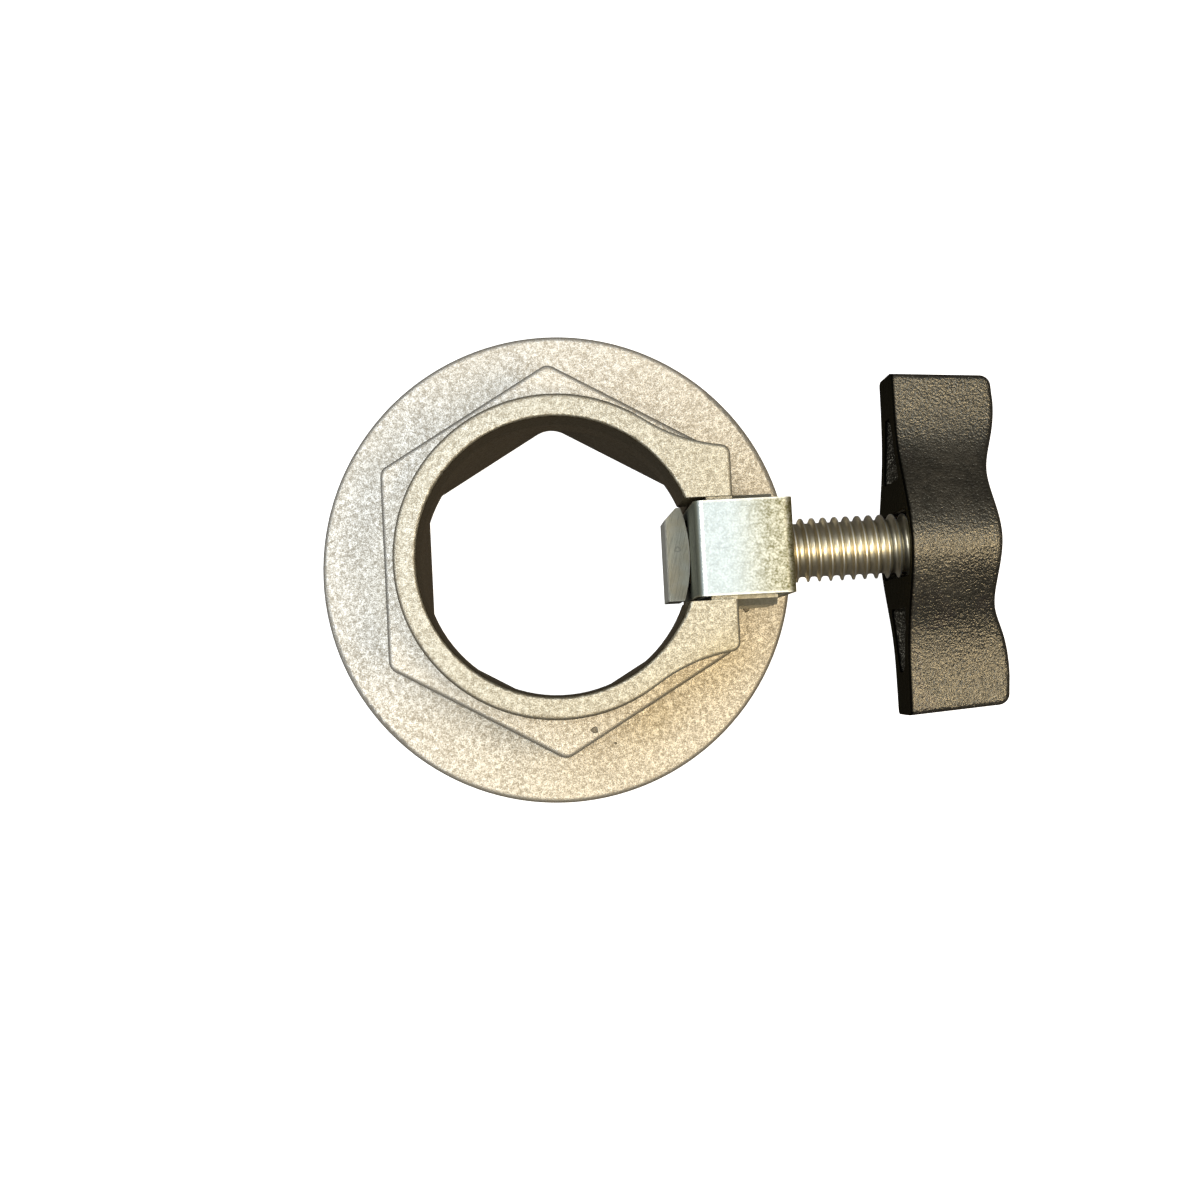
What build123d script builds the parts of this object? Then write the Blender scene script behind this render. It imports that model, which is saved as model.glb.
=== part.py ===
from build123d import *
import math
import os

os.makedirs("parts", exist_ok=True)

# Flanged clamp collar, millimetres.
# Origin: centre of the flange's flat back. +Z along the bore towards the ring,
# +X along the clamp screw towards the knob.

# flange, six-sided boss and ring
flange_r = 30.4
flange_t = 3.0
flange_edge_r = 0.7
boss_af = 41.6
boss_top = 18.5
boss_corner_r = 1.5
boss_edge_r = 0.6
boss_foot_r = 1.0
ring_r = 19.0
ring_top = 26.5
ring_edge_r = 0.45
hex_bore_af = 32.8
hex_corner_r = 3.5
round_bore_r = 16.25
round_bore_from = 15.0

# ear that carries the screw
ear_blend_deg = 54.9
ear_corner_r = 1.2
ear_depth = 3.0

# clamp screw and its axis height
axis_z = 14.0
screw_r = 3.95
pilot_r = 2.6
pilot_len = 1.6
head_af = 12.7
head_t = 5.0
screw_end_chamfer = 0.4

# U-shaped strap
strap_t = 1.5
strap_w = 11.1
strap_in_x = 16.15
strap_out_x = 27.65
strap_proud = 0.5
strap_bend_r = 1.1
strap_bottom = 6.0
strap_foot_r = 1.5

# square nut behind the strap's outer leg
nut_af = 13.3
nut_wall_gap = 0.1
nut_corner_cut = 0.8

# clamp shoe
shoe_w = 11.3
shoe_h = 8.6
shoe_mid_t = 2.85
shoe_end_t = 1.95
shoe_chamfer = 1.4
shoe_edge_r = 0.25
pilot_floor = 1.05

# wing knob
knob_base_x = 41.9
knob_tip_h = 12.45
knob_corner_drop = 0.2
knob_valley_drop = 1.95
knob_hub_drop = 1.45
knob_span = 41.9
knob_end_draft = 0.8
knob_crest_y = 16.8
knob_valley_y = 7.8
knob_corner_r = 1.4
hub_half = 9.8
waist_y = 9.6
waist_half = 5.5
tip_half = 3.6
wing_taper = 0.02
knob_edge_r = 0.7
pocket_from_y = 7.8
pocket_to_y = 15.7
pocket_wide_half = 4.4
pocket_narrow_half = 1.3
pocket_depth = 7.5
pocket_corner_r = 0.5
rib_y = 9.2
rib_t = 1.7
rib_drop = 2.0
recess_depth = 4.2
recess_crown = 1.5
hub_wall = 1.1

# clearances
slot_gap = 0.5
leg_gap = 0.1
hole_gap = 0.5
running_gap = 0.05
insert_gap = 0.02
recess_gap = 0.1

# how far cuts run past the faces they open, and how closely edges are picked
overcut = 2.0
pick = 0.01

# derived sizes
ear_x = boss_af / 2
ear_half = ear_x * math.tan(math.radians(30))
blend = math.radians(ear_blend_deg)
blend_x = ring_r * math.cos(blend)
blend_y = ring_r * math.sin(blend)
slot_w = strap_w + 2 * slot_gap
strap_top = ring_top + strap_proud
slot_floor = strap_top - strap_t
groove_x = strap_in_x + strap_t + leg_gap
groove_from = strap_bottom - leg_gap
strap_leg_x = strap_out_x - strap_t
nut_t = strap_leg_x - ear_x - nut_wall_gap
shoe_back_x = strap_in_x - running_gap
shoe_in_x = shoe_back_x - shoe_mid_t
shoe_end_x = shoe_in_x + shoe_end_t
pilot_hole_depth = shoe_mid_t - pilot_floor
screw_face_x = shoe_back_x + insert_gap
head_x = knob_base_x + recess_depth + insert_gap
knob_tip_x = knob_base_x + knob_tip_h
knob_valley_x = knob_tip_x - knob_valley_drop
knob_hub_x = knob_tip_x - knob_hub_drop
knob_corner_x = knob_tip_x - knob_corner_drop
span_half = knob_span / 2
end_y = span_half - knob_end_draft
outline_y = span_half + overcut
recess_half_y = screw_r + recess_gap
recess_half_z = hub_half - hub_wall
recess_corner_z = recess_half_z - recess_crown


def cross_plane(x):
    """Plane square to the clamp screw at x, centred on the screw axis."""
    return Plane(origin=(x, 0, axis_z), x_dir=(0, 1, 0), z_dir=(1, 0, 0))


# ---- collar: one casting -------------------------------------------------
with BuildPart() as collar:
    with BuildSketch(Plane.XY):
        Circle(flange_r)
    extrude(amount=flange_t)
    fillet(collar.edges().filter_by(GeomType.CIRCLE), flange_edge_r)
    with BuildSketch(Plane.XY.offset(flange_t)) as boss_outline:
        RegularPolygon(boss_af / 2, 6, major_radius=False, rotation=30)
        fillet(boss_outline.vertices(), boss_corner_r)
    extrude(amount=boss_top - flange_t)
    fillet(collar.edges(Select.LAST).group_by(Axis.Z)[0], boss_foot_r)
    fillet(collar.faces().sort_by(Axis.Z)[-1].edges(), boss_edge_r)
    # ring with the ear blended into it
    with BuildSketch(Plane.XY.offset(boss_top - ear_depth)) as ring_outline:
        Circle(ring_r)
        with BuildLine():
            TangentArc((blend_x, blend_y), (ear_x, ear_half),
                       tangent=(math.sin(blend), -math.cos(blend)))
            Line((ear_x, ear_half), (ear_x, -ear_half))
            TangentArc((blend_x, -blend_y), (ear_x, -ear_half),
                       tangent=(math.sin(blend), math.cos(blend)))
            Line((blend_x, -blend_y), (0, 0))
            Line((0, 0), (blend_x, blend_y))
        make_face()
        corners = ring_outline.vertices().filter_by_position(Axis.X, ear_x - pick, ear_x + pick)
        fillet(corners, ear_corner_r)
    extrude(amount=ring_top - boss_top + ear_depth)
    # six-sided passage below, round bore above
    with BuildSketch(Plane.XY) as hex_outline:
        RegularPolygon(hex_bore_af / 2, 6, major_radius=False, rotation=30)
        fillet(hex_outline.vertices(), hex_corner_r)
    extrude(amount=round_bore_from, mode=Mode.SUBTRACT)
    with BuildSketch(Plane.XY.offset(round_bore_from)):
        Circle(round_bore_r)
    extrude(amount=ring_top - round_bore_from, mode=Mode.SUBTRACT)
    fillet(collar.faces().sort_by(Axis.Z)[-1].edges(), ring_edge_r)
    # seat for the strap's web, groove for its inner leg
    with BuildSketch(Plane.XY.offset(slot_floor)):
        with Locations((round_bore_r - overcut, 0)):
            Rectangle(ear_x - round_bore_r + 2 * overcut, slot_w, align=(Align.MIN, Align.CENTER))
    extrude(amount=ring_top - slot_floor + overcut, mode=Mode.SUBTRACT)
    with BuildSketch(Plane.XY.offset(groove_from)):
        with Locations((round_bore_r - overcut, 0)):
            Rectangle(groove_x - round_bore_r + overcut, slot_w, align=(Align.MIN, Align.CENTER))
    extrude(amount=ring_top - groove_from + overcut, mode=Mode.SUBTRACT)
    # clearance hole for the screw
    with BuildSketch(cross_plane(groove_x - overcut)):
        Circle(screw_r + hole_gap)
    extrude(amount=ear_x - groove_x + 2 * overcut, mode=Mode.SUBTRACT)

# ---- strap: bent sheet over the wall -------------------------------------
with BuildPart() as strap:
    with BuildSketch(Plane.XZ) as strap_outline:
        with Locations((strap_in_x, strap_bottom)):
            Rectangle(strap_out_x - strap_in_x, strap_top - strap_bottom, align=(Align.MIN, Align.MIN))
        fillet(strap_outline.vertices().group_by(Axis.Y)[-1], strap_bend_r)
        with Locations((strap_in_x + strap_t, strap_bottom - overcut)):
            Rectangle(strap_leg_x - strap_in_x - strap_t, slot_floor - strap_bottom + overcut,
                      align=(Align.MIN, Align.MIN), mode=Mode.SUBTRACT)
    extrude(amount=strap_w / 2, both=True)
    fillet(strap.edges().filter_by(Axis.X).group_by(Axis.Z)[0], strap_foot_r)
    with BuildSketch(cross_plane(strap_in_x - overcut)):
        Circle(screw_r + hole_gap)
    extrude(amount=strap_out_x - strap_in_x + 2 * overcut, mode=Mode.SUBTRACT)

# ---- square nut ----------------------------------------------------------
with BuildPart() as square_nut:
    with BuildSketch(cross_plane(strap_leg_x - nut_t)) as nut_outline:
        Rectangle(nut_af, nut_af)
        chamfer(nut_outline.vertices(), nut_corner_cut)
        Circle(screw_r + running_gap, mode=Mode.SUBTRACT)
    extrude(amount=nut_t)

# ---- clamp shoe ----------------------------------------------------------
with BuildPart() as clamp_shoe:
    with BuildSketch(Plane.XY.offset(axis_z - shoe_h / 2)):
        with BuildLine():
            Polyline(
                (shoe_end_x, -shoe_w / 2),
                (shoe_in_x, -shoe_w / 2),
                (shoe_in_x, shoe_w / 2 - shoe_chamfer),
                (shoe_in_x + shoe_chamfer, shoe_w / 2),
                (shoe_end_x, shoe_w / 2),
            )
            ThreePointArc((shoe_end_x, shoe_w / 2), (shoe_back_x, 0), (shoe_end_x, -shoe_w / 2))
        make_face()
    extrude(amount=shoe_h)
    fillet(clamp_shoe.faces().sort_by(Axis.X)[0].edges().filter_by(Axis.Y), shoe_edge_r)
    with BuildSketch(cross_plane(shoe_back_x)):
        Circle(pilot_r + running_gap)
    extrude(amount=-pilot_hole_depth, mode=Mode.SUBTRACT)

# ---- clamp screw: turns in the shoe, hex head moulded into the knob ------
with BuildPart() as clamp_screw:
    with BuildSketch(cross_plane(screw_face_x)):
        Circle(screw_r)
    extrude(amount=head_x - screw_face_x)
    chamfer(clamp_screw.faces().sort_by(Axis.X)[0].edges(), screw_end_chamfer)
    with BuildSketch(cross_plane(screw_face_x)):
        Circle(pilot_r)
    extrude(amount=-pilot_len)
    with BuildSketch(cross_plane(head_x)):
        RegularPolygon(head_af / 2, 6, major_radius=False, rotation=30)
    extrude(amount=head_t)

# ---- wing knob -----------------------------------------------------------
with BuildPart() as wing_knob:
    # side outline: flat base, drafted ends, wavy outer edge
    with BuildSketch(Plane.XY.offset(axis_z - hub_half - overcut)) as side:
        with BuildLine():
            Spline(
                (knob_tip_x, knob_crest_y),
                (knob_valley_x, knob_valley_y),
                (knob_hub_x, 0),
                (knob_valley_x, -knob_valley_y),
                (knob_tip_x, -knob_crest_y),
                tangents=((0, -1), (0, -1)),
            )
            Polyline(
                (knob_tip_x, -knob_crest_y),
                (knob_corner_x, -end_y),
                (knob_base_x, -span_half),
                (knob_base_x, span_half),
                (knob_corner_x, end_y),
                (knob_tip_x, knob_crest_y),
            )
        make_face()
        corners = side.vertices().filter_by_position(Axis.X, knob_corner_x - pick, knob_corner_x + pick)
        fillet(corners, knob_corner_r)
    extrude(amount=2 * (hub_half + overcut))
    # end outline: full hub that thins to flat wings
    with BuildSketch(cross_plane(knob_base_x - overcut)):
        with BuildLine():
            Spline(
                (-outline_y, tip_half),
                (-waist_y, waist_half),
                (0, hub_half),
                (waist_y, waist_half),
                (outline_y, tip_half),
                tangents=((1, wing_taper), (1, -wing_taper)),
            )
            Line((outline_y, tip_half), (outline_y, -tip_half))
            Spline(
                (outline_y, -tip_half),
                (waist_y, -waist_half),
                (0, -hub_half),
                (-waist_y, -waist_half),
                (-outline_y, -tip_half),
                tangents=((-1, -wing_taper), (-1, wing_taper)),
            )
            Line((-outline_y, -tip_half), (-outline_y, tip_half))
        make_face()
    extrude(amount=knob_tip_h + 2 * overcut, mode=Mode.INTERSECT)
    rims = wing_knob.edges().filter_by_position(Axis.X, knob_base_x + knob_edge_r, knob_tip_x + knob_edge_r)
    fillet(rims, knob_edge_r)
    # hollows under the wings, each with one cross rib
    with BuildSketch(cross_plane(knob_base_x)) as hollows:
        for side_sign in (1, -1):
            with BuildLine():
                Polyline(
                    (side_sign * pocket_from_y, pocket_wide_half),
                    (side_sign * pocket_to_y, pocket_narrow_half),
                    (side_sign * pocket_to_y, -pocket_narrow_half),
                    (side_sign * pocket_from_y, -pocket_wide_half),
                    close=True,
                )
            make_face()
        fillet(hollows.vertices(), pocket_corner_r)
    extrude(amount=pocket_depth, mode=Mode.SUBTRACT)
    with BuildSketch(cross_plane(knob_base_x + rib_drop)):
        with Locations((rib_y, 0), (-rib_y, 0)):
            Rectangle(rib_t, 2 * pocket_wide_half)
    extrude(amount=pocket_depth - rib_drop)
    # slot across the hub, with the screw in its middle, and the seat of the screw's head
    with BuildSketch(cross_plane(knob_base_x)):
        with BuildLine():
            ThreePointArc(
                (-recess_half_y, recess_corner_z), (0, recess_half_z), (recess_half_y, recess_corner_z)
            )
            Line((recess_half_y, recess_corner_z), (recess_half_y, -recess_corner_z))
            ThreePointArc(
                (recess_half_y, -recess_corner_z), (0, -recess_half_z), (-recess_half_y, -recess_corner_z)
            )
            Line((-recess_half_y, -recess_corner_z), (-recess_half_y, recess_corner_z))
        make_face()
    extrude(amount=recess_depth, mode=Mode.SUBTRACT)
    with BuildSketch(cross_plane(knob_base_x + recess_depth)):
        RegularPolygon(head_af / 2 + insert_gap, 6, major_radius=False, rotation=30)
    extrude(amount=head_t + 2 * insert_gap, mode=Mode.SUBTRACT)

collar.part.label = "collar"
strap.part.label = "strap"
square_nut.part.label = "square_nut"
clamp_shoe.part.label = "clamp_shoe"
clamp_screw.part.label = "clamp_screw"
wing_knob.part.label = "wing_knob"

export_step(collar.part, "parts/collar.step")
export_step(strap.part, "parts/strap.step")
export_step(square_nut.part, "parts/square_nut.step")
export_step(clamp_shoe.part, "parts/clamp_shoe.step")
export_step(clamp_screw.part, "parts/clamp_screw.step")
export_step(wing_knob.part, "parts/wing_knob.step")
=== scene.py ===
"""Flanged clamp collar: finishes for the castings, plate and plastic, and a cut thread for the screw."""

import math

import bmesh
import bpy
import numpy as np
from bpy.props import FloatProperty, FloatVectorProperty, IntProperty, PointerProperty
from mathutils import Matrix, Vector


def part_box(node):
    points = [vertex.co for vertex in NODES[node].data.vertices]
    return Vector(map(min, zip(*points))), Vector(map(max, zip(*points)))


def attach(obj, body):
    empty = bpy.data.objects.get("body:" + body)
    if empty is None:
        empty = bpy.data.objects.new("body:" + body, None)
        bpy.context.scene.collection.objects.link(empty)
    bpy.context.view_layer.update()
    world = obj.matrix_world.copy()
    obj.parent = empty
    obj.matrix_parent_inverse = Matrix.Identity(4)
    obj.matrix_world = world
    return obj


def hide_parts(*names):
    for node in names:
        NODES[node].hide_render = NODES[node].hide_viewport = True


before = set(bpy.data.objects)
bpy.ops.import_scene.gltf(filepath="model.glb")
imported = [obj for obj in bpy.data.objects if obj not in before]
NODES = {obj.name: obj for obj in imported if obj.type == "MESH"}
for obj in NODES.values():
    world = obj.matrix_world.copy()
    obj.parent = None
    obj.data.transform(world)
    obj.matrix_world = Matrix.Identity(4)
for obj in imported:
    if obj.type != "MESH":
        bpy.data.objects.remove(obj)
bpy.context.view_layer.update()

bl_info = {
    "name": "Clamp Collar Finishes",
    "version": (1, 0, 0),
    "blender": (4, 5, 0),
    "location": "View3D > Sidebar > Clamp Collar",
    "description": "Finishes a flanged clamp collar and cuts the thread of its screw",
    "category": "Object",
}

MM = 0.001


# ---------------------------------------------------------------- sizes and colours
class CastingSettings(bpy.types.PropertyGroup):
    colour: FloatVectorProperty(
        name="Metal", description="Clean blasted metal",
        subtype="COLOR", default=(0.80, 0.80, 0.765), min=0, max=1,
    )
    shade: FloatVectorProperty(
        name="Pits", description="Metal in the bottom of the blasted pits",
        subtype="COLOR", default=(0.48, 0.44, 0.365), min=0, max=1,
    )
    grain: FloatProperty(
        name="Grain", description="Width of one blasted pit",
        subtype="DISTANCE", unit="LENGTH", default=0.17 * MM,
    )
    roughness: FloatProperty(name="Roughness", description="Roughness of the blasted skin", default=0.55)
    # Painted shade: darkens the walls of the bore.
    inside: FloatVectorProperty(
        name="Inside", description="Dark skin that the blast doesn't reach in the bore",
        subtype="COLOR", default=(0.35, 0.295, 0.21), min=0, max=1,
    )
    bore_reach: FloatProperty(
        name="Bore reach", description="Radius just past the passage's corners",
        subtype="DISTANCE", unit="LENGTH", default=18.7 * MM,
    )
    ring: FloatVectorProperty(
        name="Ring", description="Tone of the ring beside the rest of the casting",
        subtype="COLOR", default=(0.83, 0.84, 0.81), min=0, max=1,
    )
    ring_radius: FloatProperty(
        name="Ring radius", description="Outside of the ring",
        subtype="DISTANCE", unit="LENGTH", default=19.0 * MM,
    )
    # Painted warm shade: the casting grows darker and warmer towards the screw, in place of the warm lamp's
    # light.
    stain: FloatVectorProperty(
        name="Stain", description="Warm stain that deepens towards the screw",
        subtype="COLOR", default=(0.90, 0.865, 0.785), min=0, max=1,
    )
    warm_shade_towards: FloatVectorProperty(
        name="Stain direction", description="Direction in which the stain deepens",
        subtype="DIRECTION", size=3, default=(0.75, -0.66, 0.0),
    )
    band_place: FloatProperty(
        name="Brown band", description="Distance from the bore's axis of a brown band beside the boss",
        subtype="DISTANCE", unit="LENGTH", default=22.4 * MM,
    )
    boss_pit: FloatVectorProperty(
        name="Boss pit", description="Place of a casting pit on the boss",
        subtype="XYZ", unit="LENGTH", size=3, default=(3.5 * MM, -20.6 * MM, 18.5 * MM),
    )
    flange_pit: FloatVectorProperty(
        name="Flange pit", description="Place of a smaller pit on the flange",
        subtype="XYZ", unit="LENGTH", size=3, default=(6.4 * MM, -23.0 * MM, 3.0 * MM),
    )
    # Painted shade: a dark spot in the gap between the nut and the ear.
    ear_gap_shade: FloatVectorProperty(
        name="Ear pit", description="Place of a pit on the flange beside the ear",
        subtype="XYZ", unit="LENGTH", size=3, default=(24.3 * MM, -6.5 * MM, 3.0 * MM),
    )
    bore_radius: FloatProperty(
        name="Bore radius", description="Radius of the ring's bore, whose edge is chipped",
        subtype="DISTANCE", unit="LENGTH", default=16.25 * MM,
    )
    rub_from: FloatVectorProperty(
        name="Rub start", description="Start of a pale rubbed line on the flange",
        subtype="XYZ", unit="LENGTH", size=3, default=(4.8 * MM, -23.7 * MM, 3.0 * MM),
    )
    rub_length: FloatProperty(
        name="Rub length", description="Length of the rubbed line along X",
        subtype="DISTANCE", unit="LENGTH", default=12 * MM,
    )


class PlateSettings(bpy.types.PropertyGroup):
    zinc: FloatVectorProperty(
        name="Zinc", description="Bright zinc plate on the strap",
        subtype="COLOR", default=(0.52, 0.62, 0.685), min=0, max=1,
    )
    nut: FloatVectorProperty(
        name="Nut", description="Dull plate on the square nut",
        subtype="COLOR", default=(0.52, 0.50, 0.40), min=0, max=1,
    )
    shoe: FloatVectorProperty(
        name="Shoe", description="Sheared steel of the shoe",
        subtype="COLOR", default=(0.26, 0.265, 0.22), min=0, max=1,
    )
    mottle: FloatProperty(
        name="Mottle", description="Width of the plate's mottling",
        subtype="DISTANCE", unit="LENGTH", default=0.26 * MM,
    )


class ScrewSettings(bpy.types.PropertyGroup):
    colour: FloatVectorProperty(
        name="Steel", description="Bright rolled steel",
        subtype="COLOR", default=(0.79, 0.735, 0.575), min=0, max=1,
    )
    pitch: FloatProperty(
        name="Pitch", description="Advance in one turn",
        subtype="DISTANCE", unit="LENGTH", default=1.411 * MM,
    )
    crest_radius: FloatProperty(
        name="Crest radius", description="Half the outside diameter",
        subtype="DISTANCE", unit="LENGTH", default=3.95 * MM,
    )
    thread_depth: FloatProperty(
        name="Thread depth", description="From the crest to the root",
        subtype="DISTANCE", unit="LENGTH", default=0.64 * MM,
    )
    crest_share: FloatProperty(
        name="Crest share", description="Flat crest, as a share of half a pitch", default=0.10,
    )
    root_roundness: FloatProperty(
        name="Root roundness",
        description="Power of the flank's rise: 1 is a straight V and more is rounder",
        default=3.4,
    )
    pilot_radius: FloatProperty(
        name="Pilot radius", description="Plain end that turns in the shoe",
        subtype="DISTANCE", unit="LENGTH", default=2.6 * MM,
    )
    pilot_length: FloatProperty(
        name="Pilot length", description="Length of the plain end",
        subtype="DISTANCE", unit="LENGTH", default=1.6 * MM,
    )
    head_thickness: FloatProperty(
        name="Head thickness", description="Thickness of the moulded-in head",
        subtype="DISTANCE", unit="LENGTH", default=5.0 * MM,
    )
    columns: IntProperty(name="Columns", description="Faces round the thread", default=96)
    steps: IntProperty(name="Steps", description="Rows in one pitch", default=20)


class KnobSettings(bpy.types.PropertyGroup):
    colour: FloatVectorProperty(
        name="Plastic", description="Black moulded plastic",
        subtype="COLOR", default=(0.006, 0.005, 0.0035), min=0, max=1,
    )
    scuff: FloatVectorProperty(
        name="Scuffs", description="Raised grain that has rubbed pale",
        subtype="COLOR", default=(0.12, 0.108, 0.085), min=0, max=1,
    )
    texture: FloatProperty(
        name="Texture", description="Width of the mould's spark grain",
        subtype="DISTANCE", unit="LENGTH", default=0.28 * MM,
    )
    roughness: FloatProperty(name="Roughness", description="Roughness of the skin", default=0.15)


class StageSettings(bpy.types.PropertyGroup):
    camera_offset: FloatVectorProperty(
        name="Camera", description="Camera's place from the centre of the ring's top",
        subtype="XYZ", unit="LENGTH", size=3, default=(-0.05 * MM, -13.07 * MM, 190 * MM),
    )
    roll: FloatProperty(
        name="Roll", description="Turn of the view about the bore axis",
        subtype="ANGLE", unit="ROTATION", default=math.radians(3.0),
    )
    aim: FloatVectorProperty(
        name="Aim", description="Lean of the view to its right and up, per unit of depth",
        size=2, default=(0.0231, 0.0419),
    )
    lens: FloatProperty(
        name="Lens", description="Focal length",
        subtype="DISTANCE_CAMERA", unit="CAMERA", default=49.35,
    )
    floor_size: FloatProperty(
        name="Floor", description="Side of the floor",
        subtype="DISTANCE", unit="LENGTH", default=6.0,
    )


# ---------------------------------------------------------------- meshes
MERGE_REACH = 1e-7
SMALLEST_EDGE = 1e-8
ROUND_OFF = 1e-9
SHARP_BEND = math.radians(40)


def mesh_from_quads(name, points, quads):
    """Mesh object from arrays of points and four-cornered faces, smooth except at sharp bends."""
    mesh = bpy.data.meshes.new(name)
    mesh.from_pydata(points.reshape(-1, 3).tolist(), [], quads.reshape(-1, 4).tolist())
    work = bmesh.new()
    work.from_mesh(mesh)
    bmesh.ops.remove_doubles(work, verts=work.verts, dist=MERGE_REACH)
    bmesh.ops.dissolve_degenerate(work, edges=work.edges, dist=SMALLEST_EDGE)
    rims = [e for e in work.edges if e.is_boundary]
    if rims:
        bmesh.ops.holes_fill(work, edges=rims, sides=0)
    bmesh.ops.recalc_face_normals(work, faces=work.faces)
    work.to_mesh(mesh)
    work.free()
    mesh.polygons.foreach_set("use_smooth", np.ones(len(mesh.polygons), dtype=bool))
    mesh.set_sharp_from_angle(angle=SHARP_BEND)
    piece = bpy.data.objects.new(name, mesh)
    bpy.context.scene.collection.objects.link(piece)
    return piece


def grid_quads(rows, columns, first=0):
    """Faces of a grid that closes round its columns.

    Each face has two neighbours on a row and the two on the next row. The grid's points are numbered
    from first on.
    """
    row, column = np.meshgrid(np.arange(rows - 1), np.arange(columns), indexing="ij")
    after = (column + 1) % columns
    corners = (row * columns + column, row * columns + after,
               (row + 1) * columns + after, (row + 1) * columns + column)
    return np.stack(corners, axis=-1).reshape(-1, 4) + first


def round_about_x(along, radius, angle, centre_z):
    """Points at a distance along X and a radius and angle about the line y = 0, z = centre_z."""
    return np.stack([along, radius * np.cos(angle), centre_z + radius * np.sin(angle)], axis=-1)


# Depth of the tip's bevel, as a share of the thread's depth.
TIP_SHARE = 0.9


def threaded_rod(start, end, centre_z, settings):
    """Helical surface: at turn t and angle a the point lies at start + pitch * (t + a / full turn).

    Its radius falls from crest to root and back once a turn, with narrow flat crests and broad rounded
    roots, and is held down to a 45 degree bevel at the tip. Rows beyond an end are drawn in to that end.
    The surface closes by joining its last column to its first, a pitch further along.
    """
    pitch, steps, columns = settings.pitch, settings.steps, settings.columns
    crest, depth = settings.crest_radius, settings.thread_depth
    turns = (end - start) / pitch + 2
    rows = int(math.ceil(turns * steps)) + 1
    row, column = np.meshgrid(np.arange(rows), np.arange(columns), indexing="ij")
    along = start + pitch * (row / steps - 1 + column / columns)
    from_root = np.abs(2 * ((row % steps) / steps) - 1)
    height = np.clip(from_root / (1 - settings.crest_share), 0, 1) ** settings.root_roundness
    bevel = crest - TIP_SHARE * depth + np.clip(along - start, 0, None)
    radius = np.minimum(crest - depth + depth * height, bevel)
    radius = np.where(along >= end - ROUND_OFF, crest - depth, radius)
    along = np.clip(along, start, end)
    points = round_about_x(along, radius, 2 * math.pi * column / columns, centre_z).reshape(-1, 3)
    row, column = np.meshgrid(np.arange(rows - 1), np.arange(columns - 1), indexing="ij")
    inner = np.stack((row * columns + column, row * columns + column + 1,
                      (row + 1) * columns + column + 1, (row + 1) * columns + column), axis=-1)
    row = np.arange(rows - 1 - steps)
    seam = np.stack((row * columns + columns - 1, (row + steps) * columns,
                     (row + steps + 1) * columns, (row + 1) * columns + columns - 1), axis=-1)
    return points, np.concatenate([inner.reshape(-1, 4), seam])


def turned_piece(stations, centre_z, columns, flats=0, first=0):
    """Closed surface about the screw axis, with a ring of points at each (x, radius) station.

    A station of radius 0 is a pole. With flats, a radius is the distance to the middle of a flat, and grows
    as one over the cosine of the angle from there. The surface's points are numbered from first on.
    """
    stations = np.array(stations)
    angle = 2 * math.pi * np.arange(columns) / columns
    swell = np.ones(columns)
    if flats:
        part = 2 * math.pi / flats
        swell = 1 / np.cos((angle + part / 2) % part - part / 2)
    radius = stations[:, 1:2] * swell[None, :]
    along = np.repeat(stations[:, :1], columns, axis=1)
    points = round_about_x(along, radius, angle[None, :], centre_z).reshape(-1, 3)
    return points, grid_quads(len(stations), columns, first)


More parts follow.
